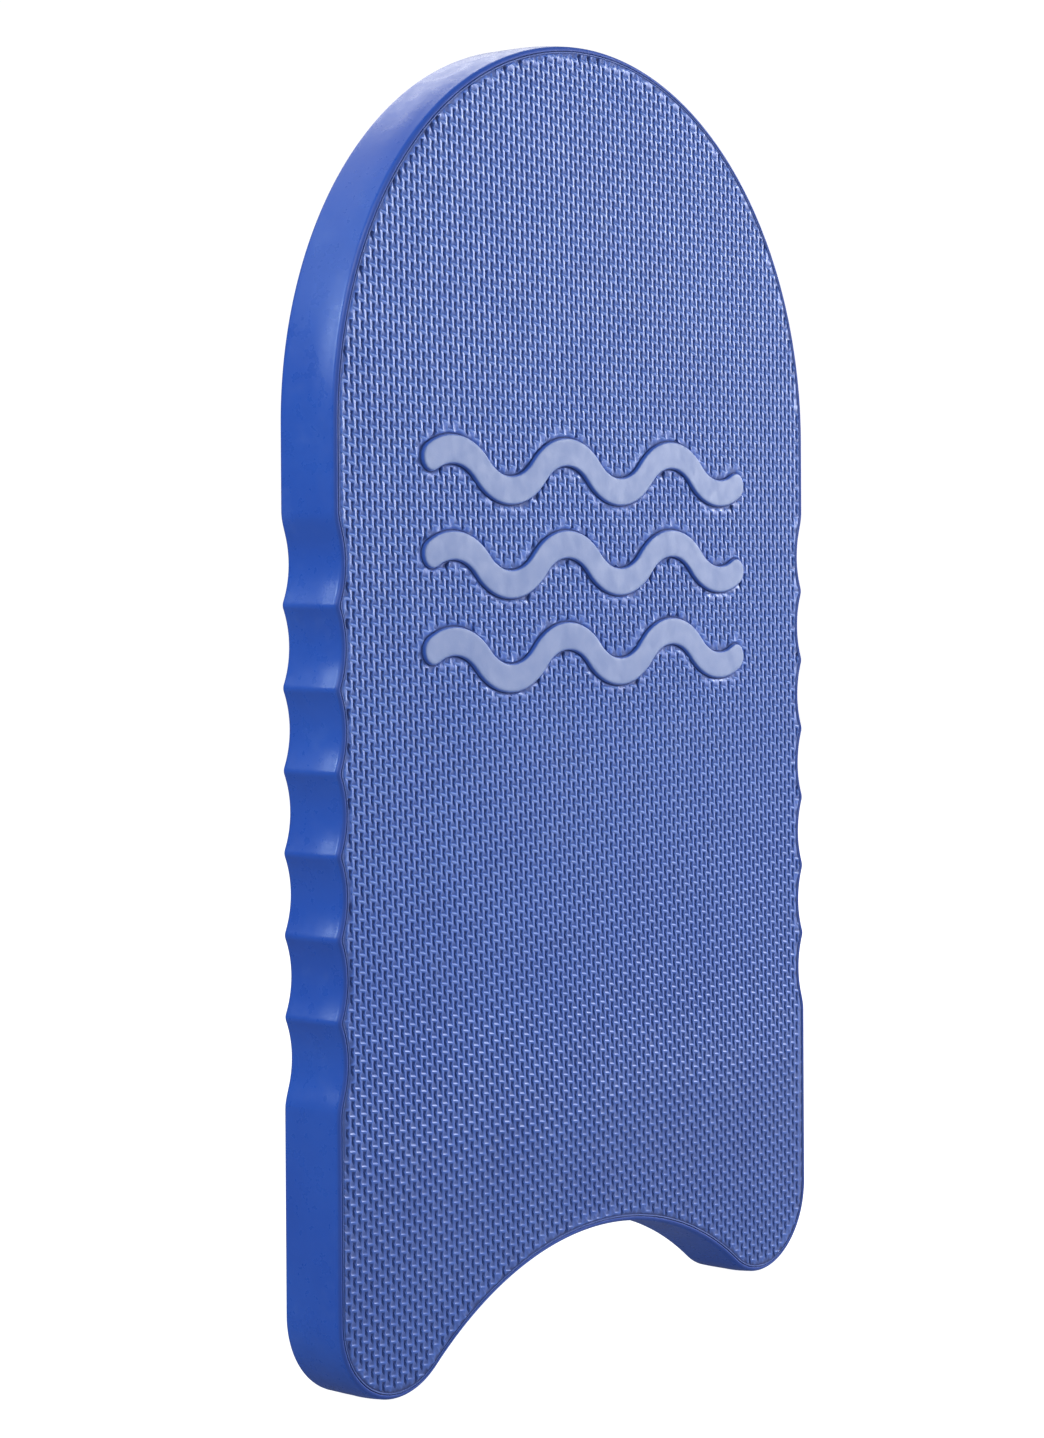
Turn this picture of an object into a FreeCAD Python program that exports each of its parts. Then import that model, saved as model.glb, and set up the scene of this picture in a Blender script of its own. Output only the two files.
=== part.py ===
"""Kickboard float: a foam core between two embossed face sheets, closed round by a smooth edge skin.

Frame: +Z up along the board, from the tail lobes to the nose; X across; Y through the thickness.
The front face looks along -Y. The origin is at the middle of the board, level with its tail lobes.
"""

import FreeCAD, Part
import math
import os
import Sketcher
from FreeCAD import Placement, Rotation, Vector

# Driving dimensions, in millimetres: alias, value, what it is.
DIMENSIONS = [
    ("board_width", 280, "across the foot of the half-round nose"),
    ("tail_width", 284, "across the tail lobes"),
    ("board_length", 470, "from the tail lobes to the top of the nose"),
    ("board_thickness", 24.5, "over both face sheets"),
    ("lobe_radius", 32, "each of the two tail lobes"),
    ("arch_height", 38, "top of the tail arch above the lobes"),
    ("grip_top", 299, "height of the upper end of the finger grips"),
    ("grip_pitch", 27.6, "from one finger grip to the next"),
    ("grip_count", 7, "finger grips on each side"),
    ("grip_depth", 3.4, "how far a finger grip goes into the side"),
    ("grip_end_radius", 14, "soft run-out above and below the grips"),
    ("ridge_radius", 2.4, "rounding of the ridge between two grips"),
    ("edge_radius", 2.0, "rounding where the side meets a face"),
    ("rim_width", 2.6, "from the outline in to a face sheet"),
    ("sheet_thickness", 2.5, "each face sheet"),
    ("wave_pitch", 64, "from crest to crest"),
    ("wave_crests", 3, "crests on each raised wave"),
    ("wave_rise", 14, "crest above trough, along the middle of the bar"),
    ("wave_width", 10, "of the raised bar"),
    ("wave_height", 1.2, "of the raised bar above the face"),
    ("wave_spacing", 33, "from one raised wave to the next"),
    ("emblem_centre", 284, "height of the middle of the three waves"),
]
size = {alias: value for alias, value, _ in DIMENSIONS}

# Expressions that several features share. An inset outline keeps the same centres.
HALF_WIDTH = "Dimensions.board_width / 2"
LOBE_OUT = "(Dimensions.tail_width / 2 - Dimensions.lobe_radius)"
ARCH_RADIUS = (
    f"({LOBE_OUT} * {LOBE_OUT} + Dimensions.arch_height * Dimensions.arch_height"
    " - 2 * Dimensions.lobe_radius * Dimensions.arch_height) / (2 * Dimensions.arch_height)"
)
GRIP_RADIUS = (
    "(Dimensions.grip_pitch * Dimensions.grip_pitch / 4 + Dimensions.grip_depth * Dimensions.grip_depth)"
    " / (2 * Dimensions.grip_depth)"
)
FACE_OFFSET = "(Dimensions.board_thickness - Dimensions.sheet_thickness) / 2"
WAVE_RADIUS = (
    "(Dimensions.wave_pitch * Dimensions.wave_pitch / 16 + Dimensions.wave_rise * Dimensions.wave_rise / 4)"
    " / Dimensions.wave_rise"
)

# How a sketch numbers the points of a line or arc, its own origin and axis, and outside lines.
START, END, CENTRE = 1, 2, 3
ORIGIN = (-1, 1)
VERTICAL_AXIS = -2
OUTLINE_SIDE = -3  # the first line that a sketch takes from another sketch

FLAT = 0.001  # how far from level an edge may be and still lie in a face, in millimetres
STRAIGHT_ACROSS = 0.99  # the least Y of a unit direction that runs across the thickness
ROUND_END = 0.45  # a raised bar's corner radius, as a share of its width

doc = FreeCAD.newDocument("kickboard_float")


def fill_sheet():
    """The spreadsheet that drives every sub-part."""
    sheet = doc.addObject("Spreadsheet::Sheet", "Dimensions")
    for row, (alias, value, meaning) in enumerate(DIMENSIONS, 1):
        sheet.set(f"A{row}", alias)
        sheet.set(f"B{row}", str(value))
        sheet.setAlias(f"B{row}", alias)
        sheet.set(f"C{row}", meaning)
    doc.recompute()


def origin_feature(body, role):
    """One of a body's own planes or axes."""
    return next(f for f in body.Origin.OriginFeatures if f.Role == role)


def new_sketch(body, name, role):
    sketch = body.newObject("Sketcher::SketchObject", name)
    sketch.AttachmentSupport = [(origin_feature(body, role), "")]
    sketch.MapMode = "FlatFace"
    return sketch


def drive(sketch, name, expression, *constraint):
    """Adds a dimension to a sketch under a name, and binds it to the sheet."""
    index = sketch.addConstraint(Sketcher.Constraint(*constraint))
    sketch.renameConstraint(index, name)
    sketch.setExpression(f"Constraints.{name}", expression)


def add_line(sketch, start, end):
    return sketch.addGeometry(Part.LineSegment(Vector(*start), Vector(*end)), False)


def add_arc(sketch, centre, radius, first, last):
    """A counter-clockwise arc, with its two angles in radians."""
    circle = Part.Circle(Vector(*centre), Vector(0, 0, 1), radius)
    return sketch.addGeometry(Part.ArcOfCircle(circle, first, last), False)


def outline_sketch(body, inset):
    """The board's outline without its finger grips, moved in by the expression inset.

    The nose is half round. Each side runs down into a round tail lobe, and the wide arch between
    the lobes is tangent to both. The centres don't move with the inset. The first line drawn is
    the right side.
    """
    half, tail_half = size["board_width"] / 2, size["tail_width"] / 2
    nose_z = size["board_length"] - half
    lobe, arch = size["lobe_radius"], size["arch_height"]
    lobe_x = tail_half - lobe
    arch_radius = (lobe_x**2 + arch**2 - 2 * lobe * arch) / (2 * arch)
    arch_z = arch - arch_radius
    lean = math.atan2(lobe - arch_z, lobe_x)

    sketch = new_sketch(body, "Outline", "XZ_Plane")
    right = add_line(sketch, (tail_half, lobe), (half, nose_z))
    nose = add_arc(sketch, (0, nose_z), half, 0, math.pi)
    left = add_line(sketch, (-half, nose_z), (-tail_half, lobe))
    left_lobe = add_arc(sketch, (-lobe_x, lobe), lobe, math.pi, 2 * math.pi - lean)
    tail_arch = add_arc(sketch, (0, arch_z), arch_radius, lean, math.pi - lean)
    right_lobe = add_arc(sketch, (lobe_x, lobe), lobe, math.pi + lean, 2 * math.pi)
    for ends in [
        (right, END, nose, START),
        (nose, END, left, START),
        (left, END, left_lobe, START),
        (left_lobe, END, tail_arch, END),
        (tail_arch, START, right_lobe, START),
        (right_lobe, END, right, START),
    ]:
        sketch.addConstraint(Sketcher.Constraint("Tangent", *ends))
    for curve in (nose, tail_arch):
        sketch.addConstraint(Sketcher.Constraint("PointOnObject", curve, CENTRE, VERTICAL_AXIS))
    sketch.addConstraint(
        Sketcher.Constraint("Symmetric", left_lobe, CENTRE, right_lobe, CENTRE, VERTICAL_AXIS)
    )
    nose_height = f"Dimensions.board_length - {HALF_WIDTH}"
    lobe_height = "Dimensions.lobe_radius"
    drive(sketch, "nose_radius", f"{HALF_WIDTH} - {inset}", "Radius", nose, half)
    drive(sketch, "nose_height", nose_height, "DistanceY", *ORIGIN, nose, CENTRE, nose_z)
    drive(sketch, "lobe_radius", f"Dimensions.lobe_radius - {inset}", "Radius", right_lobe, lobe)
    drive(sketch, "lobe_height", lobe_height, "DistanceY", *ORIGIN, right_lobe, CENTRE, lobe)
    drive(sketch, "lobe_out", LOBE_OUT, "DistanceX", *ORIGIN, right_lobe, CENTRE, lobe_x)
    drive(sketch, "arch_radius", f"{ARCH_RADIUS} + {inset}", "Radius", tail_arch, arch_radius)
    return sketch


def grip_sketch(body, outline, inset):
    """The uppermost finger grip on the right: a circle centred outside the board, whose edge dips in.

    A construction line along the board's side gives the direction of the row of grips.
    """
    half, depth, pitch = size["board_width"] / 2, size["grip_depth"], size["grip_pitch"]
    radius = (pitch**2 / 4 + depth**2) / (2 * depth)
    out, up = radius - depth, size["grip_top"] - pitch / 2

    sketch = new_sketch(body, "Grip", "XZ_Plane")
    sketch.addExternal(outline.Name, "Edge1")
    circle = Part.Circle(Vector(half + out, up), Vector(0, 0, 1), radius)
    grip = sketch.addGeometry(circle, False)
    along = sketch.addGeometry(Part.LineSegment(Vector(half, up), Vector(half, up - pitch)), True)
    sketch.addConstraint(Sketcher.Constraint("PointOnObject", along, START, OUTLINE_SIDE))
    sketch.addConstraint(Sketcher.Constraint("PointOnObject", along, END, OUTLINE_SIDE))
    sketch.addConstraint(Sketcher.Constraint("Horizontal", along, START, grip, CENTRE))
    grip_out = f"{GRIP_RADIUS} - Dimensions.grip_depth + {inset}"
    grip_height = "Dimensions.grip_top - Dimensions.grip_pitch / 2"
    drive(sketch, "grip_radius", f"{GRIP_RADIUS} + {inset}", "Radius", grip, radius)
    drive(sketch, "grip_out", grip_out, "Distance", grip, CENTRE, OUTLINE_SIDE, out)
    drive(sketch, "grip_height", grip_height, "DistanceY", *ORIGIN, grip, CENTRE, up)
    drive(sketch, "one_grip", "Dimensions.grip_pitch", "Distance", along, pitch)
    return sketch


def crossing_edges(shape, lowest, highest):
    """The names of the straight edges across the board's thickness between two heights."""
    names = []
    for number, edge in enumerate(shape.Edges, 1):
        low, high = edge.BoundBox.ZMin, edge.BoundBox.ZMax
        if not isinstance(edge.Curve, Part.Line) or low < lowest or high > highest:
            continue
        if abs(edge.tangentAt(edge.FirstParameter).y) > STRAIGHT_ACROSS:
            names.append(f"Edge{number}")
    return names


def soften(body, name, edges, radius):
    """Adds a fillet of the expression radius to some edges of a body's last feature."""
    base = body.Tip
    fillet = body.newObject("PartDesign::Fillet", name)
    fillet.Base = (base, edges)
    fillet.setExpression("Radius", radius)
    body.Tip = fillet
    doc.recompute()


def grip_span():
    """The heights of both ends of the row of finger grips, and half a grip."""
    pitch = size["grip_pitch"]
    return size["grip_top"], size["grip_top"] - size["grip_count"] * pitch, pitch / 2


def plank(name, depth, inset, end_radius):
    """A flat piece of the board's outline with its finger grips, centred on Y = 0.

    depth, inset and end_radius are expressions: its thickness, how far its outline lies inside the
    board's, and the rounding at both ends of its row of grips.
    """
    body = doc.addObject("PartDesign::Body", name)
    outline = outline_sketch(body, inset)
    pad = body.newObject("PartDesign::Pad", "Plank")
    pad.Profile = outline
    pad.SideType = "Symmetric"
    pad.setExpression("Length", depth)
    doc.recompute()

    sketch = grip_sketch(body, outline, inset)
    grip = body.newObject("PartDesign::Pocket", "GripPocket")
    grip.Profile = sketch
    grip.Type = "ThroughAll"
    grip.SideType = "Symmetric"

    row = body.newObject("PartDesign::LinearPattern", "GripRow")
    row.Direction = (sketch, ["Axis0"])
    row.Mode = "Spacing"
    row.setExpression("Offset", "Dimensions.grip_pitch")
    row.setExpression("Occurrences", "Dimensions.grip_count")
    other_side = body.newObject("PartDesign::Mirrored", "OtherSide")
    other_side.MirrorPlane = (origin_feature(body, "YZ_Plane"), [""])
    both_rows = body.newObject("PartDesign::MultiTransform", "BothRows")
    both_rows.Originals = [grip]
    both_rows.Transformations = [row, other_side]
    body.Tip = both_rows
    doc.recompute()

    top, bottom, near = grip_span()
    edges = crossing_edges(both_rows.Shape, top - near, top + near)
    edges += crossing_edges(both_rows.Shape, bottom - near, bottom + near)
    soften(body, "GripEnds", edges, end_radius)
    return body


def build_edge_skin():
    """The smooth band round the board: the rounded outside plank less the space for what it holds."""
    outside = plank("OutsidePlank", "Dimensions.board_thickness", "0", "Dimensions.grip_end_radius")
    top, bottom, near = grip_span()
    ridges = crossing_edges(outside.Tip.Shape, bottom + near, top - near)
    soften(outside, "Ridges", ridges, "Dimensions.ridge_radius")
    half = size["board_thickness"] / 2
    rims = [
        f"Edge{number}"
        for number, edge in enumerate(outside.Tip.Shape.Edges, 1)
        if edge.BoundBox.YLength < FLAT and abs(abs(edge.BoundBox.YMin) - half) < FLAT
    ]
    soften(outside, "RoundedRims", rims, "Dimensions.edge_radius")

    depth = "Dimensions.board_thickness + 2 * Dimensions.rim_width"
    inside_end = "Dimensions.grip_end_radius - Dimensions.rim_width"
    inside = plank("InsideSpace", depth, "Dimensions.rim_width", inside_end)
    skin = doc.addObject("Part::Cut", "EdgeSkin")
    skin.Base, skin.Tool = outside, inside
    skin.Label = "edge_skin"
    return skin


def build_layer(name, label, depth, offset):
    """The core or a face sheet: a plank that just fills the edge skin, offset along Y."""
    inside_end = "Dimensions.grip_end_radius - Dimensions.rim_width"
    layer = plank(name, depth, "Dimensions.rim_width", inside_end)
    layer.Label = label
    layer.setExpression(".Placement.Base.y", offset)
    return layer


def wave_path(body):
    """The middle line of a wave bar, from trough to trough, in tangent arcs of one radius."""
    quarter, rise = size["wave_pitch"] / 4, size["wave_rise"]
    radius = (quarter**2 + rise**2 / 4) / rise
    swing = math.asin(quarter / radius)
    crests = size["wave_crests"]
    low, high = radius - rise / 2, rise / 2 - radius
    down, up = 1.5 * math.pi, 0.5 * math.pi

    path = new_sketch(body, "Path", "XZ_Plane")
    troughs = [(4 * n - 2 * crests) * quarter for n in range(crests + 1)]
    curves, joints = [], []
    for number, x in enumerate(troughs):
        first = down if number == 0 else down - swing
        last = down if number == crests else down + swing
        curves.append(add_arc(path, (x, low), radius, first, last))
        joints.append((START, END))
        if number < crests:
            curves.append(add_arc(path, (x + 2 * quarter, high), radius, up - swing, up + swing))
            joints.append((END, START))
    # A trough is entered at its arc's start and left at its end, and a crest the other way round.
    for number in range(len(curves) - 1):
        leaving, entering = joints[number][1], joints[number + 1][0]
        path.addConstraint(
            Sketcher.Constraint("Tangent", curves[number], leaving, curves[number + 1], entering)
        )
        path.addConstraint(Sketcher.Constraint("Equal", curves[number], curves[number + 1]))
    for number, (curve, following) in enumerate(zip(curves, curves[1:])):
        along = (curve, CENTRE, following, CENTRE, 2 * quarter)
        drive(path, f"half_pitch_{number}", "Dimensions.wave_pitch / 2", "DistanceX", *along)
    drive(path, "bend_radius", WAVE_RADIUS, "Radius", curves[0], radius)
    half_length = "Dimensions.wave_pitch * Dimensions.wave_crests / 2"
    ends = (curves[0], START), (curves[-1], END)
    drive(path, "half_length", half_length, "DistanceX", *ends[0], *ORIGIN, 2 * quarter * crests)
    drive(path, "trough", "Dimensions.wave_rise / 2", "DistanceY", *ends[0], *ORIGIN, rise / 2)
    for curve, point in ends:
        path.addConstraint(Sketcher.Constraint("Vertical", curve, point, curve, CENTRE))
    return path


def build_wave(name, label, step):
    """A raised wave bar on the front face: a rectangle swept along the wave, with rounded ends.

    step is how many spacings the bar is above the middle one.
    """
    body = doc.addObject("PartDesign::Body", name)
    body.Label = label
    path = wave_path(body)

    section = new_sketch(body, "Section", "YZ_Plane")
    start = size["wave_pitch"] * size["wave_crests"] / 2
    height, width, trough = size["wave_height"], size["wave_width"], -size["wave_rise"] / 2
    corners = [
        (0, trough - width / 2),
        (-height, trough - width / 2),
        (-height, trough + width / 2),
        (0, trough + width / 2),
    ]
    sides = [add_line(section, corners[n - 1], corners[n]) for n in range(4)]
    for n in range(4):
        section.addConstraint(Sketcher.Constraint("Coincident", sides[n - 1], END, sides[n], START))
    for side, direction in zip(sides, ("Vertical", "Horizontal") * 2):
        section.addConstraint(Sketcher.Constraint(direction, side))
    section.addConstraint(Sketcher.Constraint("PointOnObject", sides[0], END, VERTICAL_AXIS))
    drive(section, "height", "Dimensions.wave_height", "DistanceX", sides[1], END, sides[1], START, height)
    drive(section, "width", "Dimensions.wave_width", "DistanceY", sides[2], START, sides[2], END, width)
    low_edge = "(Dimensions.wave_rise + Dimensions.wave_width) / 2"
    drive(section, "low_edge", low_edge, "DistanceY", sides[0], END, *ORIGIN, width / 2 - trough)
    section.AttachmentOffset = Placement(Vector(0, 0, -start), Rotation())
    section.setExpression("AttachmentOffset.Base.z", "-Dimensions.wave_pitch * Dimensions.wave_crests / 2")

    bar = body.newObject("PartDesign::AdditivePipe", "Bar")
    bar.Profile = section
    bar.Spine = (path, [])
    body.Tip = bar
    doc.recompute()
    square_ends = crossing_edges(bar.Shape, -size["board_length"], size["board_length"])
    soften(body, "RoundEnds", square_ends, f"Dimensions.wave_width * {ROUND_END}")

    body.setExpression(".Placement.Base.y", "-Dimensions.board_thickness / 2")
    body.setExpression(
        ".Placement.Base.z", f"Dimensions.emblem_centre + {step} * Dimensions.wave_spacing"
    )
    return body


def check(parts):
    """Stops if anything in the document failed, or a sub-part isn't one good solid."""
    failed = [o.Name for o in doc.Objects if {"Invalid", "Error"} & set(o.State)]
    failed += [p.Label for p in parts if p.Shape.isNull() or not p.Shape.isValid()]
    if failed:
        raise RuntimeError(f"these failed: {failed}")
    for p in parts:
        box = p.Shape.optimalBoundingBox(False)
        print(
            f"{p.Label}: {len(p.Shape.Solids)} solid, {p.Shape.Volume / 1000:.1f} cm3,"
            f" X {box.XMin:.1f} {box.XMax:.1f}, Y {box.YMin:.1f} {box.YMax:.1f},"
            f" Z {box.ZMin:.1f} {box.ZMax:.1f}"
        )


fill_sheet()
core_depth = "Dimensions.board_thickness - 2 * Dimensions.sheet_thickness"
sheet_depth = "Dimensions.sheet_thickness"
parts = [
    build_edge_skin(),
    build_layer("Core", "foam_core", core_depth, "0"),
    build_layer("FrontSheet", "front_skin", sheet_depth, "-" + FACE_OFFSET),
    build_layer("BackSheet", "back_skin", sheet_depth, FACE_OFFSET),
    build_wave("TopWave", "wave_top", 1),
    build_wave("MiddleWave", "wave_middle", 0),
    build_wave("BottomWave", "wave_bottom", -1),
]
doc.recompute()
check(parts)
os.makedirs("parts", exist_ok=True)
for part in parts:
    part.Shape.exportStep(f"parts/{part.Label}.step")
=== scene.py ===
"""Looks of the kickboard float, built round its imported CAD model.

Lengths are in millimetres while a shape is worked out, and go to Blender in metres.
An outline is a closed row of (x, z) points. A height is measured outwards from a face.
"""
import math

import bpy
import numpy as np
from mathutils import Matrix, Vector
from mathutils.geometry import delaunay_2d_cdt


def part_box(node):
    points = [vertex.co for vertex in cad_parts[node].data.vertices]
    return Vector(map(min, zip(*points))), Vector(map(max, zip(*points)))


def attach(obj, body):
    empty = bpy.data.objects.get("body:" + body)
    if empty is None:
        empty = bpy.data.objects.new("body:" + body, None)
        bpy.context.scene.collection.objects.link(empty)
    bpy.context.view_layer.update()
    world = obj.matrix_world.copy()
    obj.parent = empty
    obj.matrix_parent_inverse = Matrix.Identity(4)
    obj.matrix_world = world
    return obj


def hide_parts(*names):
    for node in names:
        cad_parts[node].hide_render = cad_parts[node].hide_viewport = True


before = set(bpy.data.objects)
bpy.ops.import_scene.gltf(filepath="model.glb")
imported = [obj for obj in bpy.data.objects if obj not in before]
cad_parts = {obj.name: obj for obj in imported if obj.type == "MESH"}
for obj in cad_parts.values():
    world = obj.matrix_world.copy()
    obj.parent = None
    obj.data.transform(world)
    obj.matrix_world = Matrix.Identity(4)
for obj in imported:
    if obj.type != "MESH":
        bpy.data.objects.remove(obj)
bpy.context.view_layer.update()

MM = 0.001

# ---------------------------------------------------------------- sizes

edge_low, edge_high = (np.array(corner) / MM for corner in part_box("edge_skin"))
sheet_low, sheet_high = (np.array(corner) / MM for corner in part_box("front_skin"))
wave_low, wave_high = (np.array(corner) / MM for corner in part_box("wave_middle"))
THICK = edge_high[1] - edge_low[1]
SHEET = sheet_high[1] - sheet_low[1]
LENGTH = edge_high[2]
NOSE_R = 140.0
NOSE_Z = LENGTH - NOSE_R
LOBE_R = 32.0
LOBE_X = edge_high[0] - LOBE_R
ARCH_H = 38.0
ARCH_R = (LOBE_X**2 + ARCH_H**2 - 2 * LOBE_R * ARCH_H) / (2 * ARCH_H)
ARCH_Z = ARCH_H - ARCH_R
GRIP_TOP, GRIP_PITCH, GRIP_COUNT, GRIP_DEPTH = 299.0, 27.6, 7, 3.4
GRIP_R = (GRIP_PITCH**2 / 4 + GRIP_DEPTH**2) / (2 * GRIP_DEPTH)
RIDGE_BLEND, GRIP_END_BLEND = 1.3, 1.9  # how widely grips melt together, and into the side
NO_GRIP = -50.0  # an inset that is less than any on the board
RIM = edge_high[0] - sheet_high[0]  # the edge skin shows this far in from the outline


def side_tilt():
    """The side is the line that touches the nose and the lobe. This is its outward normal's angle
    above the horizontal, by bisection."""
    low, high = -0.2, 0.2  # radians
    for _ in range(60):
        mid = (low + high) / 2
        gap = NOSE_R - LOBE_R + (NOSE_Z - LOBE_R) * math.sin(mid) - LOBE_X * math.cos(mid)
        low, high = (low, mid) if gap > 0 else (mid, high)
    return mid


TILT = side_tilt()
NORMAL = np.array([math.cos(TILT), math.sin(TILT)])
DOWN = np.array([math.sin(TILT), -math.cos(TILT)])
SIDE_TOP = np.array([0.0, NOSE_Z]) + NOSE_R * NORMAL
SIDE_END = np.array([LOBE_X, LOBE_R]) + LOBE_R * NORMAL
SIDE_LENGTH = float((SIDE_END - SIDE_TOP) @ DOWN)
GRIP_START = (SIDE_TOP[1] - GRIP_TOP) / -DOWN[1]
GRIP_MIDDLES = GRIP_START + GRIP_PITCH * (np.arange(GRIP_COUNT) + 0.5)


def smooth_max(a, b, blend):
    """The larger of two values, rounded over where they differ by less than blend."""
    near = np.clip(blend - np.abs(a - b), 0, None) / blend
    return np.maximum(a, b) + near * near * blend / 4


def side_inset(t, inset):
    """How far in from the straight side the outline lies, t down from the side's top."""
    t = np.asarray(t, float)
    grooves = np.full(t.shape, NO_GRIP)
    for middle in GRIP_MIDDLES:
        reach = (GRIP_R + inset) ** 2 - (t - middle) ** 2
        groove = np.sqrt(np.clip(reach, 0, None)) - (GRIP_R - GRIP_DEPTH)
        grooves = smooth_max(grooves, groove, RIDGE_BLEND)
    ends = (t < GRIP_MIDDLES[0]) | (t > GRIP_MIDDLES[-1])
    return np.where(ends, smooth_max(grooves, inset, GRIP_END_BLEND), np.maximum(grooves, inset))


def side_steps():
    """Places down the side: close together at the ridges, further apart elsewhere."""
    close, apart, ridge_reach, last_gap = 0.55, 1.7, 2.0, 0.4
    ridges = GRIP_START + GRIP_PITCH * np.arange(GRIP_COUNT + 1)
    steps = [0.0]
    while steps[-1] < SIDE_LENGTH:
        off = np.min(np.abs(ridges - steps[-1]))
        steps.append(steps[-1] + (close if off < ridge_reach else apart))
    steps = np.array(steps[1:-1])
    return steps[SIDE_LENGTH - steps > last_gap]


def arc(centre, radius, first, last, step):
    """Points about step apart along an arc, as a function of how much larger its radius is."""
    count = max(2, int(abs(last - first) * radius / step))
    angles = np.linspace(first, last, count + 1)
    return lambda grow: np.array(centre) + (radius + grow) * np.c_[np.cos(angles), np.sin(angles)]


LOBE_END = math.atan2(ARCH_Z - LOBE_R, -LOBE_X)
nose_arc = arc((0, NOSE_Z), NOSE_R, math.pi / 2, TILT, 1.9)
lobe_arc = arc((LOBE_X, LOBE_R), LOBE_R, TILT, LOBE_END, 1.6)
arch_arc = arc((0, ARCH_Z), ARCH_R, LOBE_END + math.pi, math.pi / 2, 1.9)
SIDE_STEPS = side_steps()


def outline(inset):
    """The board's outline moved in by inset, clockwise from the top of the nose."""
    side = SIDE_TOP + np.outer(SIDE_STEPS, DOWN) - np.outer(side_inset(SIDE_STEPS, inset), NORMAL)
    right = np.vstack([nose_arc(-inset), side, lobe_arc(-inset), arch_arc(inset)[1:]])
    left = right[1:-1][::-1] * [-1, 1]
    return np.vstack([right, left])


COUNT = len(outline(0))  # points in every outline


def depth_inside(x, z):
    """How far points lie inside the outline."""
    x = np.abs(x)
    t = (x - SIDE_TOP[0]) * DOWN[0] + (z - SIDE_TOP[1]) * DOWN[1]
    inward = -((x - SIDE_TOP[0]) * NORMAL[0] + (z - SIDE_TOP[1]) * NORMAL[1])
    depth = inward.copy()
    for middle in GRIP_MIDDLES:
        depth = np.minimum(depth, np.hypot(t - middle, inward + GRIP_R - GRIP_DEPTH) - GRIP_R)
    depth = np.minimum(depth, np.hypot(x, z - ARCH_Z) - ARCH_R)
    nose = z > NOSE_Z
    depth = np.where(nose, NOSE_R - np.hypot(x, z - NOSE_Z), depth)
    angle = np.arctan2(z - LOBE_R, x - LOBE_X)
    lobe = (angle < TILT) & (angle > LOBE_END)
    return np.where(lobe & ~nose, LOBE_R - np.hypot(x - LOBE_X, z - LOBE_R), depth)


# ---------------------------------------------------------------- mesh helpers

GRID_STEP = 12.0
GRID_X, GRID_Z = np.arange(-132, 133, GRID_STEP), np.arange(6, 466, GRID_STEP)
SWAY_TERMS, SWAY_SCALE = 7, 4  # how many sines sway adds up, and what it divides their sum by


def make_piece(name, verts, faces, node, slot, material, crease=60, **attributes):
    """A piece from points in millimetres, smooth but for folds of more than crease degrees.
    faces is a list of index arrays."""
    mesh = bpy.data.meshes.new(name)
    rows = [face for part in faces for face in np.asarray(part).tolist()]
    mesh.from_pydata((np.asarray(verts) * MM).tolist(), [], rows)
    for key, values in attributes.items():
        layer = mesh.attributes.new(key, "FLOAT", "POINT")
        layer.data.foreach_set("value", np.asarray(values, np.float32))
    mesh.materials.append(material)
    mesh.validate()
    mesh.shade_smooth()
    mesh.set_sharp_from_angle(angle=math.radians(crease))
    piece = bpy.data.objects.new(name, mesh)
    bpy.context.scene.collection.objects.link(piece)
    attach(piece, "root")
    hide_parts(node)
    return piece


def band(first, second, count, flip=False):
    """Quads between two closed rows of count points, given by their first indices."""
    i = np.arange(count)
    j = (i + 1) % count
    quads = np.c_[first + i, first + j, second + j, second + i]
    return quads[:, ::-1] if flip else quads


def fill(points, edges=()):
    """Constrained Delaunay triangles over (x, z) points, inside the outline that the first COUNT
    of them make."""
    inside = [list(range(COUNT))[::-1]]
    vectors = [Vector(point) for point in points.tolist()]
    only_inside, merge_gap, with_sources = 1, 1e-6, True
    made = delaunay_2d_cdt(vectors, list(edges), inside, only_inside, merge_gap, with_sources)
    triangles, sources, parents = made[2], made[3], made[5]
    where = np.array([source[0] if source else -1 for source in sources])
    assert len(where) == len(set(where.tolist())) and (where >= 0).all(), "the edges cross"
    kept = np.array([bool(parent) for parent in parents])
    return where[np.array(triangles)[kept]]


def hidden_grid(inset):
    """Points that keep the triangles of a large flat face well shaped."""
    points = np.stack(np.meshgrid(GRID_X, GRID_Z), -1).reshape(-1, 2)
    return points[depth_inside(points[:, 0], points[:, 1]) > inset]


def loop_edges(first, count):
    """The edges of a closed row of count points, from its first index."""
    return [(first + i, first + (i + 1) % count) for i in range(count)]


def sway(x, y, z, size, seed):
    """Slow smooth unevenness, between about -1 and 1."""
    rng = np.random.default_rng(seed)
    total = np.zeros(np.shape(x))
    for _ in range(SWAY_TERMS):
        a, b, c = rng.normal(size=3) * 2 * math.pi / size
        total = total + np.sin(a * x + b * y + c * z + rng.uniform(0, 2 * math.pi))
    return total / SWAY_SCALE


# ---------------------------------------------------------------- embossing

COLUMN, ROW = 2.82, 5.942  # pitch of the columns, and of the bars down one column
COLUMN_START, ROW_START = 1.13, 0.59  # the place of column 0 and row 0
COLUMNS, ROWS = np.arange(-54, 55), np.arange(-3, 84)  # more than cover the board
BORDER_SUNK = 0.25  # how far the ground lies under the face where it meets the bead
BORDER_CLEAR, BORDER_FADE = 0.3, 0.4  # no pattern within the first, full relief beyond the second
WORN_BELOW, WORN_OVER, MOST_WORN = 190, 250, 0.5  # the relief grows shallower towards the tail
TAIL_PAINTED_SHADE = 0.30  # how much darker the colour is painted towards the tail, as painted shade, in step with that wear
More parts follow.
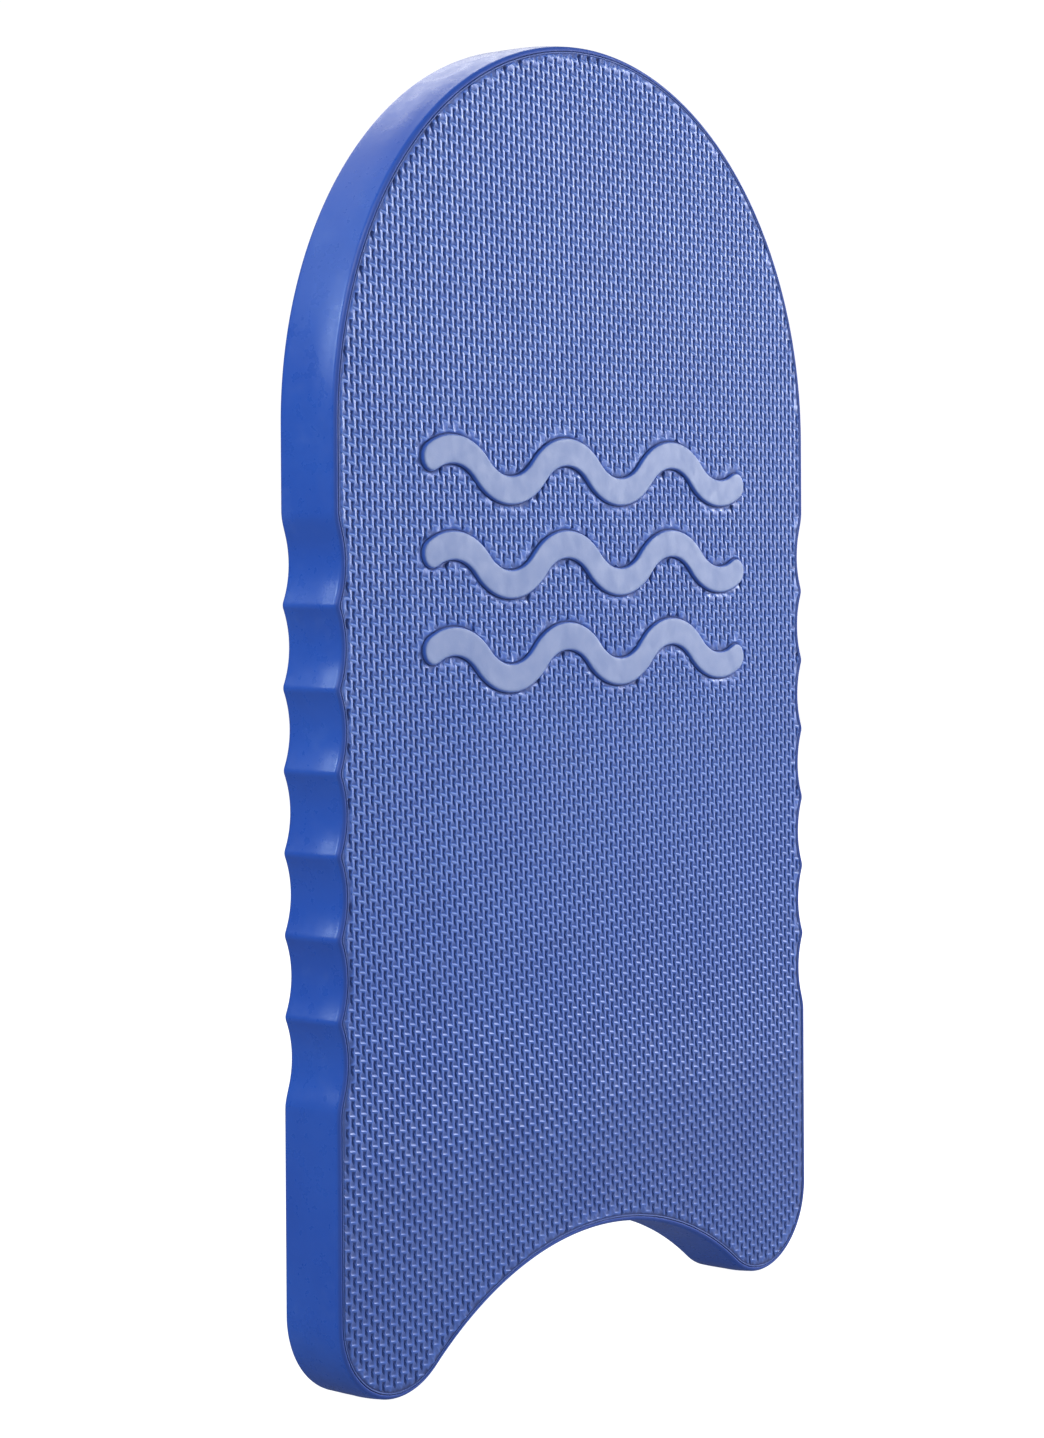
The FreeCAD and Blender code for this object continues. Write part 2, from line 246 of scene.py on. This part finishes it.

# One repeat: (x, z, height) from the middle of a T's bar. The slit is a rim of seven points round
# two floor points. It winds down between the T's stem and the next column's bar. The bar is a
# ridge that stands out and droops at its right end. The foot is the low ground above the bar.
SLIT_POINTS = [
    (0.12, -0.60, -0.02), (0.14, -3.30, -0.04), (1.25, -4.85, -0.16), (1.92, -4.10, 0.06),
    (0.98, -2.45, -0.16), (1.78, -1.95, 0.10), (1.86, -0.90, 0.08),
    (0.72, -1.50, -0.95), (0.60, -3.45, -0.90),
]
RIDGE_POINTS = [(-1.40, 0.00, 0.16), (-0.85, 0.10, 0.42), (1.95, -0.30, 0.28)]
FOOT_POINTS = [(-0.50, 0.72, -0.24), (1.30, 0.45, -0.20)]
CELL = np.array(SLIT_POINTS + RIDGE_POINTS + FOOT_POINTS)
RIM_COUNT, RIDGE, RIDGE_END, FOOT = 7, 9, 11, 12
CELL_EDGES = [(i, (i + 1) % RIM_COUNT) for i in range(RIM_COUNT)] + [
    (RIM_COUNT, RIM_COUNT + 1), (RIDGE, RIDGE + 1), (RIDGE + 1, RIDGE_END),
    (RIDGE, 0), (RIDGE_END, RIM_COUNT - 1)]


def tail_wear(z):
    """The share of the relief that is worn away."""
    return np.clip((WORN_BELOW - z) / WORN_OVER, 0, MOST_WORN)


def embossing(start, mirrored, wave_centres):
    """(points with heights, edges) of the pattern between the bead and the emblem."""
    column, row = (grid.ravel() for grid in np.meshgrid(COLUMNS, ROWS))
    x = COLUMN_START + COLUMN * column
    z = ROW_START + ROW * (row + 0.5 * (column % 2))
    cells = (len(x), len(CELL))
    heights = np.broadcast_to(CELL[:, 2], cells)
    points = np.stack([x[:, None] + CELL[:, 0], z[:, None] + CELL[:, 1], heights], -1)
    if mirrored:
        points[..., 0] *= -1
    flat = points.reshape(-1, 3)
    kept = depth_inside(flat[:, 0], flat[:, 1]) > start + BORDER_CLEAR
    kept &= ~near_wave(flat[:, 0], flat[:, 1], wave_centres)
    kept = kept.reshape(cells)
    rim = kept[:, :RIM_COUNT].sum(1, keepdims=True)
    kept[:, RIM_COUNT:RIDGE] &= rim >= RIM_COUNT - 1  # no pit without most of its rim
    kept = kept.ravel()
    number = np.where(kept, np.cumsum(kept) - 1, -1).reshape(cells)
    edges = [number[:, list(pair)] for pair in CELL_EDGES]
    inner = (column < column.max()) & (row > row.min())  # those with a lower right neighbour
    lower_right = np.flatnonzero(inner) + 1 - (1 - column[inner] % 2) * len(COLUMNS)
    edges.append(np.c_[number[inner, RIDGE_END], number[lower_right, FOOT]])
    edges = np.concatenate(edges)
    edges = edges[(edges >= 0).all(1)]
    flat = flat[kept]
    fade = np.clip((depth_inside(flat[:, 0], flat[:, 1]) - start) / BORDER_FADE, 0, 1)
    flat[:, 2] *= 1 - tail_wear(flat[:, 1])
    flat[:, 2] = (flat[:, 2] + BORDER_SUNK) * fade - BORDER_SUNK
    return flat, edges


# ---------------------------------------------------------------- emblem

WAVE_PITCH, WAVE_CRESTS, WAVE_WIDTH = 64.0, 3, 10.0
WAVE_HEIGHT = wave_high[1] - wave_low[1]
WAVE_RISE = wave_high[2] - wave_low[2] - WAVE_WIDTH
WAVE_R = (WAVE_PITCH**2 / 16 + WAVE_RISE**2 / 4) / WAVE_RISE
WAVE_NAMES = ["wave_top", "wave_middle", "wave_bottom"]
BUMP_STEPS, END_STEPS = 17, 9  # points along half a wave, and round a bar's end
END_REACH = 0.9  # the middle line stops this share of a half width short of the bar's end
EMBOSSING_GAP = 0.80  # the pattern stops this far from a bar

# Steps from under a wave bar, up its side and onto its top: (inset, share of the bar's height).
WAVE_STEPS = [(1.2, 0), (0.3, 0), (0, 0), (0.02, 0.55), (0.12, 0.8), (0.35, 0.94), (0.75, 0.995),
              (1.6, 1), (3.2, 1)]


def wave_loop(inset, centre_z):
    """A wave bar's outline moved in by inset: along its top, round its end and back. Also how many
    points lie along a side and round an end."""
    half_turn = math.asin(WAVE_PITCH / 4 / WAVE_R)
    middle, across = [], []
    for bump in range(2 * WAVE_CRESTS):
        up = 1 if bump % 2 == 0 else -1
        x = (bump - WAVE_CRESTS + 0.5) * WAVE_PITCH / 2
        for angle in np.linspace(-half_turn, half_turn, BUMP_STEPS)[:-1]:
            n = np.array([math.sin(angle), up * math.cos(angle)])
            middle.append([x, up * (WAVE_RISE / 2 - WAVE_R)] + WAVE_R * n)
            across.append(n * up)
    middle.append([WAVE_CRESTS * WAVE_PITCH / 2, 0])
    across.append([-across[0][0], across[0][1]])
    middle, across = np.array(middle), np.array(across)
    reach = WAVE_WIDTH / 2
    inner = np.abs(middle[:, 0]) < wave_high[0] - reach * END_REACH
    middle, across = middle[inner], across[inner]
    half = reach - inset
    turns = np.linspace(0, math.pi, END_STEPS)[1:-1][:, None]
    along = np.array([across[-1][1], -across[-1][0]])
    right = middle[-1] + half * (across[-1] * np.cos(turns) + along * np.sin(turns))
    back = np.array([-across[0][1], across[0][0]])
    left = middle[0] + half * (-across[0] * np.cos(turns) + back * np.sin(turns))
    loop = np.vstack([middle + half * across, right, (middle - half * across)[::-1], left])
    return loop + [0, centre_z], len(middle), len(turns)


def wave_centre(name):
    """The height of a bar's middle line on the board."""
    low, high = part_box(name)
    return (low.z + high.z) / 2 / MM


WAVE_CENTRES = [wave_centre(name) for name in WAVE_NAMES]


def near_wave(x, z, wave_centres):
    """True for points on a wave bar or just beside it."""
    found = np.zeros(len(x), bool)
    beside = np.abs(x) < wave_high[0] + WAVE_WIDTH / 2
    for centre_z in wave_centres:
        line = wave_loop(WAVE_WIDTH / 2 - 0.01, centre_z)[0]  # almost the bar's middle line
        rough = np.flatnonzero((np.abs(z - centre_z) < WAVE_RISE + WAVE_WIDTH) & beside)
        gap = np.hypot(line[:, 0] - x[rough, None], line[:, 1] - z[rough, None]).min(1)
        found[rough] |= gap < WAVE_WIDTH / 2 + EMBOSSING_GAP
    return found


def build_wave(name, centre_z, material):
    """One raised bar with rounded shoulders, closed above and below."""
    _, side, turn = wave_loop(0, centre_z)
    count = 2 * (side + turn)
    steps = [(inset, share * WAVE_HEIGHT) for inset, share in WAVE_STEPS]
    verts = []
    for inset, height in steps:
        loop = wave_loop(inset, centre_z)[0]
        verts.append(np.c_[loop[:, 0], np.full(count, edge_low[1] - height), loop[:, 1]])
    faces = [band(k * count, (k + 1) * count, count, True) for k in range(len(steps) - 1)]
    upper = np.arange(side)
    lower = 2 * side + turn - 1 - upper
    first_end = np.arange(side - 1, side + turn + 1)
    last_end = np.arange(2 * side + turn - 1, count + 1) % count
    for start, flip in ((0, False), ((len(steps) - 1) * count, True)):
        strip = np.c_[start + upper[:-1], start + upper[1:], start + lower[1:], start + lower[:-1]]
        for part in (strip, [start + first_end], [start + last_end]):
            faces.append(np.asarray(part)[:, ::-1] if flip else part)
    relief = np.repeat([height for _, height in steps], count)
    piece = name.replace("wave", "emblem")
    return make_piece(piece, np.vstack(verts), faces, name, "emblem", material, relief=relief)


# ---------------------------------------------------------------- skins and core


FRONT, BACK = -1, 1  # a sheet's side of the board, along y
SEAM = 0.08  # gap between the edge skin and a sheet
SWELL, SWELL_SIZE = 0.12, 90  # height and width of a sheet's slow unevenness
SWELL_FROM = 30  # it is full this far in from the outline
GRID_CLEAR, CORE_GRID_CLEAR = 4, 5  # no hidden grid point nearer to the rim than this

# From a sheet's back, up its side and over its border bead to where the field begins: (in from the
# side, under the face). The relief is their depth for the colour, as painted shade: the seam is
# dark, the bead not.
SHEET_BORDER = [(0, SHEET), (0, 0.55), (0.12, 0.10), (0.32, -0.08), (0.54, -0.04),
                (0.74, BORDER_SUNK)]
BORDER_RELIEF = [-0.4, -0.4, -0.25, -0.15, -0.15]
WAVE_GROOVE = [(0.05, -0.2), (0.30, -0.40), (0.55, -0.22)]  # round a bar's foot: (outset, height)


def build_sheet(name, node, side, material, wave_centres, settled=0.0):
    """A face sheet: its border bead, its embossing and its flat hidden back. It lies settled
    deeper than the edge skin."""
    backwards = side == BACK
    gap = RIM + SEAM
    rings = [np.c_[outline(gap + inwards), np.full(COUNT, -sunk)] for inwards, sunk in SHEET_BORDER]
    base = (len(rings) - 1) * COUNT
    pattern, pattern_edges = embossing(gap + SHEET_BORDER[-1][0], backwards, wave_centres)
    field = [rings[-1]]  # the bead's inner foot
    edges = []
    start = COUNT
    for centre_z in wave_centres:
        for outset, height in WAVE_GROOVE:
            loop = wave_loop(-outset, centre_z)[0]
            field.append(np.c_[loop, np.full(len(loop), height)])
            edges += loop_edges(start, len(loop))
            start += len(loop)
    field = np.vstack(field + [pattern])
    edges += (pattern_edges + start).tolist()
    shown = fill(field[:, :2], edges) + base
    grid = hidden_grid(gap + GRID_CLEAR)
    grid_start = base + len(field)
    under = fill(np.vstack([rings[0][:, :2], grid]))
    under = np.where(under < COUNT, under, under - COUNT + grid_start)
    flat = np.vstack(rings[:-1] + [field, np.c_[grid, np.full(len(grid), -SHEET)]])
    inside = np.clip(depth_inside(flat[:, 0], flat[:, 1]) / SWELL_FROM, 0, 1)
    uneven = sway(flat[:, 0], 0, flat[:, 1], SWELL_SIZE, 5) * SWELL * inside - settled
    height = flat[:, 2] + uneven * np.clip(1 + flat[:, 2] / SHEET, 0, 1)
    verts = np.c_[flat[:, 0], side * (THICK / 2 + height), flat[:, 1]]
    faces = [band(k * COUNT, (k + 1) * COUNT, COUNT, not backwards) for k in range(len(rings) - 1)]
    faces += [shown[:, ::-1] if backwards else shown, under if backwards else under[:, ::-1]]
    # Painted shade: the colour darkens towards the tail, beyond what the worn relief gives.
    relief = flat[:, 2] - TAIL_PAINTED_SHADE * tail_wear(flat[:, 1])
    relief[:base] = np.repeat(BORDER_RELIEF, COUNT)
    relief[grid_start:] = 0
    return make_piece(name, verts, faces, node, "face_sheet", material, crease=32, relief=relief)


FRONT_CROWN, BACK_CROWN = 1.2, 0.2  # how far the wall leans in at its corners
CORNER_REACH, CORNER_SUNK = 2.42, 1.9  # from this far in on the face to this far down the wall
CORNER_STEPS, WALL_STEPS = 10, 11
DENT, DENT_SIZE = 0.14, 70  # depth and width of the wall's slow unevenness

# The lip beside a sheet: (inset, under the face). The seam gives the first nine rows from a sheet
# their depth for the colour, a painted shade that is darkest beside it.
EDGE_LIP = [(RIM, 1.3), (RIM, 0.45), (RIM - 0.03, 0.14)]
EDGE_SEAM = [-0.4, -0.4, -0.4, -0.4, -0.34, -0.30, -0.26, -0.20, -0.14]


def build_edge(material):
    """The smooth band round the outline, as one closed ring."""
    half = THICK / 2

    def crown(sunk):
        return (FRONT_CROWN if sunk < half else BACK_CROWN) * (1 - sunk / half) ** 2

    def corner(wall_end):
        turns = np.linspace(0, math.pi / 2, CORNER_STEPS)
        return [(CORNER_REACH - (CORNER_REACH - crown(wall_end)) * math.sin(turn),
                 CORNER_SUNK - CORNER_SUNK * math.cos(turn)) for turn in turns]

    front = EDGE_LIP + corner(CORNER_SUNK)
    back = EDGE_LIP + corner(THICK - CORNER_SUNK)
    rows = np.linspace(CORNER_SUNK, THICK - CORNER_SUNK, WALL_STEPS)[1:-1]
    profile = front + [(crown(sunk), sunk) for sunk in rows]
    profile += [(inset, THICK - sunk) for inset, sunk in back[::-1]]
    dark = EDGE_SEAM + [0.0] * (len(profile) - 2 * len(EDGE_SEAM)) + EDGE_SEAM[::-1]
    away = outline(1.0) - outline(0.0)
    inward = away / np.linalg.norm(away, axis=1)[:, None]
    verts = []
    for row, (inset, sunk) in enumerate(profile):
        loop = outline(inset)
        y = -half + sunk
        if len(front) <= row < len(front) + len(rows):
            share = 1 - abs(1 - sunk / half)
            dent = share * DENT * (1 + sway(loop[:, 0], y, loop[:, 1], DENT_SIZE, 3))
            loop = loop + inward * dent[:, None]
        verts.append(np.c_[loop[:, 0], np.full(COUNT, y), loop[:, 1]])
    rings = len(profile)
    faces = [band(k * COUNT, (k + 1) % rings * COUNT, COUNT) for k in range(rings)]
    return make_piece("edge_band", np.vstack(verts), faces, "edge_skin", "edge_skin", material,
                      relief=np.repeat(dark, COUNT))


CORE_GAP, CORE_SIDE_GAP = 0.05, 0.12  # between the core and a sheet, and the edge skin


def build_core(material):
    """The buoyant core between the sheets, inside the edge skin, with chamfered edges."""
    half = THICK / 2 - SHEET - CORE_GAP
    inset = RIM + CORE_SIDE_GAP
    chamfer = [(inset + 0.8, half), (inset + 0.25, half - 0.2), (inset, half - 0.8)]
    profile = [(i, -y) for i, y in chamfer] + [(inset, 0.0)] + chamfer[::-1]
    grid = hidden_grid(inset + CORE_GRID_CLEAR)
    cap = fill(np.vstack([outline(profile[0][0]), grid]))
    rings = len(profile)
    verts = []
    for ring_inset, y in profile:
        loop = outline(ring_inset)
        verts.append(np.c_[loop[:, 0], np.full(COUNT, y), loop[:, 1]])
    verts += [np.c_[grid[:, 0], np.full(len(grid), y), grid[:, 1]] for y in (-half, half)]
    faces = [band(k * COUNT, (k + 1) * COUNT, COUNT) for k in range(rings - 1)]
    front = np.where(cap < COUNT, cap, cap - COUNT + rings * COUNT)
    back = np.where(cap < COUNT, cap + (rings - 1) * COUNT, cap - COUNT + rings * COUNT + len(grid))
    faces += [front, back[:, ::-1]]
    return make_piece("core_slab", np.vstack(verts), faces, "foam_core", "foam_core", material)


# ---------------------------------------------------------------- materials


class Nodes:
    """Short calls for building one procedural material."""

    def __init__(self, name):
        self.material = bpy.data.materials.new(name)
        self.material.use_nodes = True
        self.tree = self.material.node_tree
        self.shader = self.tree.nodes["Principled BSDF"]
        self.place = self.tree.nodes.new("ShaderNodeTexCoord").outputs["Object"]

    def feed(self, socket, value):
        """Links an output to a socket, or sets the socket to a plain value."""
        if isinstance(value, bpy.types.NodeSocket):
            self.tree.links.new(value, socket)
        else:
            socket.default_value = value

    def node(self, kind, inputs=(), **settings):
        made = self.tree.nodes.new(kind)
        for key, value in settings.items():
            setattr(made, key, value)
        for key, value in dict(inputs).items():
            self.feed(made.inputs[key], value)
        return made

    def noise(self, size, detail=3.0, rough=0.55):
        """Noise whose features are about size millimetres."""
        made = self.node("ShaderNodeTexNoise", {
            "Vector": self.place, "Scale": 1 / (size * MM), "Detail": detail, "Roughness": rough})
        return made.outputs["Fac"]

    def spread(self, value, low, high, to_low=0.0, to_high=1.0):
        """value from the range low to high onto the range to_low to to_high, clamped."""
        made = self.node("ShaderNodeMapRange", {
            "Value": value, "From Min": low, "From Max": high, "To Min": to_low, "To Max": to_high})
        return made.outputs["Result"]

    def math(self, operation, a, b):
        return self.node("ShaderNodeMath", {0: a, 1: b}, operation=operation).outputs[0]

    def mix(self, share, a, b):
        """The colour a where share is 0 and b where it is 1."""
        colours = {6: a, 7: b}  # the Mix node's colour inputs; its colour output is 2
        made = self.node("ShaderNodeMix", {"Factor": share, **colours}, data_type="RGBA")
        return made.outputs[2]

    def bump(self, height, distance, under=None):
        """The normal with a height of distance millimetres on it, on top of the bump under."""
        inputs = {"Height": height, "Distance": distance * MM, "Strength": 1.0}
        if under is not None:
            inputs["Normal"] = under
        return self.node("ShaderNodeBump", inputs).outputs["Normal"]

    def shade(self, **inputs):
        """Feeds the shader's sockets and returns the material."""
        for key, value in inputs.items():
            self.feed(self.shader.inputs[key.replace("_", " ")], value)
        return self.material


BASE, DEEP, PALE, WORN = range(4)  # three blues, and the grey that wear leaves
# DEEP is also the painted shade in the hollows and seams, through eva's pit setting.
SHEET_BLUES = [(0.036, 0.118, 0.520, 1), (0.006, 0.020, 0.120, 1),
               (0.066, 0.175, 0.620, 1), (0.30, 0.38, 0.62, 1)]
EDGE_BLUES = [(0.018, 0.082, 0.440, 1), (0.012, 0.056, 0.330, 1),
              (0.028, 0.115, 0.520, 1), (0.20, 0.31, 0.62, 1)]
# CREST_BLUE is a painted highlight on the face's crests.
CREST_BLUE = (0.190, 0.300, 0.690, 1)
# EMBLEM_TOP_BLUE is a painted highlight on the wave bars' tops.
EMBLEM_TOP_BLUE = (0.105, 0.175, 0.420, 1)

# What is mixed into the base: tint, noise (size in millimetres, detail, roughness), the range of
# the noise over which it comes in, and the most of it.
MOTTLE = [
    (PALE, (38, 2), 0.30, 0.70, 0.35),  # clouds
    (PALE, (0.55, 2, 0.7), 0.35, 0.70, 0.04),  # speckle
    (DEEP, (11, 2), 0.50, 0.75, 0.12),  # patches
    (WORN, (16, 3, 0.6), 0.60, 0.80, 0.10),  # wear
]
SMOOTHER, ROUGHER = 0.06, 0.07  # how far the roughness strays either way
PIT_SHARE, PIT_ROUGHER = 0.85, 0.4  # how deep blue the deepest parts are painted, as painted shade, and how much rougher they are
GRAIN_SIZE, LUMP_SIZE, LUMP = 0.35, 9, 0.10  # the fine grain's size, and the lumps' size and depth


def eva(name, blues, grain, rough, sheen, pit=None, crest=None, gloss=0.0):
    """Closed-cell EVA skin: mottled blue and slightly worn, its fine grain grain millimetres deep.
    pit is the range of relief, in millimetres, over which the colour sinks to the deep blue as
    painted shade.
    crest is (low, high, colour), where raised parts get a painted highlight, and are glossier by
    gloss."""
    n = Nodes(name)
    colour = blues[BASE]
    for tint, noise, low, high, most in MOTTLE:
        colour = n.mix(n.spread(n.noise(*noise), low, high, 0.0, most), colour, blues[tint])
    roughness = n.spread(n.noise(5, 4), 0.3, 0.7, rough - SMOOTHER, rough + ROUGHER)
    relief = n.node("ShaderNodeAttribute", attribute_name="relief").outputs["Fac"]
    # Painted highlight: raised parts are paled towards the crest colour, and made glossier.
    if crest:
        low, high, crest_blue = crest
        highlight_and_gloss = n.spread(relief, low, high)
        colour = n.mix(highlight_and_gloss, colour, crest_blue)
        roughness = n.math("SUBTRACT", roughness, n.math("MULTIPLY", highlight_and_gloss, gloss))
    # Painted shade: the hollows sink towards the deep blue, and are rougher.
    if pit:
        colour = n.mix(n.spread(relief, *pit, 0.0, PIT_SHARE), colour, blues[DEEP])
        roughness = n.math("ADD", roughness, n.spread(relief, *pit, 0.0, PIT_ROUGHER))
    fine = n.bump(n.noise(GRAIN_SIZE, 3, 0.6), grain)
    normal = n.bump(n.noise(LUMP_SIZE, 2), LUMP, fine)
    return n.shade(Base_Color=colour, Roughness=roughness, Normal=normal, Sheen_Weight=sheen,
                   Sheen_Roughness=0.5, Specular_IOR_Level=0.5)


# The face gets painted shade in its slits and grooves, and a painted highlight on its crests.
face_look = eva("eva_face", SHEET_BLUES, grain=0.035, rough=0.42, sheen=0.10,
                pit=(0.00, -0.32), crest=(0.00, 0.26, CREST_BLUE), gloss=0.12)
edge_look = eva("eva_edge", EDGE_BLUES, grain=0.020, rough=0.30, sheen=0.05, pit=(-0.04, -0.36))
# The wave bars' tops get a painted highlight.
emblem_look = eva("eva_emblem", SHEET_BLUES, grain=0.030, rough=0.52, sheen=0.15,
                  crest=(0.80 * WAVE_HEIGHT, 0.98 * WAVE_HEIGHT, EMBLEM_TOP_BLUE))
core_look = eva("eva_core", SHEET_BLUES, grain=0.200, rough=0.70, sheen=0.0)

build_edge(edge_look)
build_core(core_look)
build_sheet("front_sheet", "front_skin", FRONT, face_look, WAVE_CENTRES)
build_sheet("back_sheet", "back_skin", BACK, face_look, [], settled=0.6)
for node, centre_z in zip(WAVE_NAMES, WAVE_CENTRES):
    build_wave(node, centre_z, emblem_look)

# ---------------------------------------------------------------- stage, light and camera


FLOOR_REACH, FLOOR_GREY, FLOOR_GLOW = 12.0, 0.25, 0.34


def stage_floor():
    """A plain floor that the camera sees white. It lights the object with a weaker glow, and is
    not mirrored in it."""
    mesh = bpy.data.meshes.new("floor")
    far = FLOOR_REACH
    corners = [(-far, -far, 0), (far, -far, 0), (far, far, 0), (-far, far, 0)]
    mesh.from_pydata(corners, [], [(0, 1, 2, 3)])
    n = Nodes("floor")
    seen = n.node("ShaderNodeLightPath").outputs["Is Camera Ray"]
    glow = n.math("MAXIMUM", seen, FLOOR_GLOW)
    mesh.materials.append(n.shade(Base_Color=(FLOOR_GREY,) * 3 + (1,), Roughness=0.9,
                                  Emission_Color=(1, 1, 1, 1), Emission_Strength=glow))
    floor = bpy.data.objects.new("floor", mesh)
    bpy.context.scene.collection.objects.link(floor)
    floor.visible_glossy = False


LIGHT_AIM = Vector((0, 0, 0.25))

# Soft square lights: name, place, width in metres, watts, colour.
LIGHTS = [
    ("left_high", (-1.41, 0.50, 1.05), 0.5, 10, (0.70, 0.88, 1.0)),
    ("over_viewer", (-1.2, -0.95, 1.5), 1.0, 19, (1, 1, 1)),
    ("right_front", (1.65, -1.2, 0.55), 1.0, 36, (1, 1, 1)),
    ("right_side", (2.0, -0.3, 0.6), 1.0, 18, (1, 1, 1)),
    ("right_back", (0.9, 1.2, 1.5), 1.0, 7, (1, 1, 1)),
    ("left_back", (-1.0, 1.0, 1.6), 1.0, 4, (0.72, 0.90, 1.0)),
    ("back_top", (0.0, 1.2, 1.7), 1.0, 3, (1, 1, 1)),
]


def area_light(name, place, width, power, colour):
    data = bpy.data.lights.new(name, "AREA")
    data.shape, data.size, data.size_y = "RECTANGLE", width, width
    data.energy, data.color = power, colour
    lamp = bpy.data.objects.new(name, data)
    lamp.location = place
    lamp.rotation_euler = (LIGHT_AIM - Vector(place)).to_track_quat("-Z", "Y").to_euler()
    bpy.context.scene.collection.objects.link(lamp)


def white_world(seen, given):
    """A white surround that the camera sees at one strength and the object is lit by at another."""
    world = bpy.data.worlds.new("surround")
    bpy.context.scene.world = world
    world.use_nodes = True
    tree = world.node_tree
    tree.nodes.clear()
    path = tree.nodes.new("ShaderNodeLightPath")
    out = tree.nodes.new("ShaderNodeOutputWorld")
    mix = tree.nodes.new("ShaderNodeMixShader")
    tree.links.new(path.outputs["Is Camera Ray"], mix.inputs[0])
    for slot, strength in ((1, given), (2, seen)):
        light = tree.nodes.new("ShaderNodeBackground")
        light.inputs["Strength"].default_value = strength
        light.inputs["Color"].default_value = (1, 1, 1, 1)
        tree.links.new(light.outputs[0], mix.inputs[slot])
    tree.links.new(mix.outputs[0], out.inputs[0])


def photo_camera():
    """The photo's camera, as solved from the board's outline and the face's regular pattern."""
    data = bpy.data.cameras.new("camera")
    data.lens, data.sensor_width = 73.336, 36.0
    data.shift_x, data.shift_y = 0.0002, -0.0015
    data.clip_start, data.clip_end = 0.05, 50
    camera = bpy.data.objects.new("camera", data)
    right = Vector((0.624080, -0.781335, -0.006373))
    up = Vector((0.051082, 0.032660, 0.998160))
    turn = Matrix((right, up, right.cross(up))).transposed().to_4x4()
    camera.matrix_world = Matrix.Translation((-0.851249, -0.659023, 0.292648)) @ turn
    bpy.context.scene.collection.objects.link(camera)
    bpy.context.scene.camera = camera


stage_floor()
white_world(seen=1.05, given=0.08)
for light in LIGHTS:
    area_light(*light)
photo_camera()
bpy.context.scene.view_settings.view_transform = "Standard"
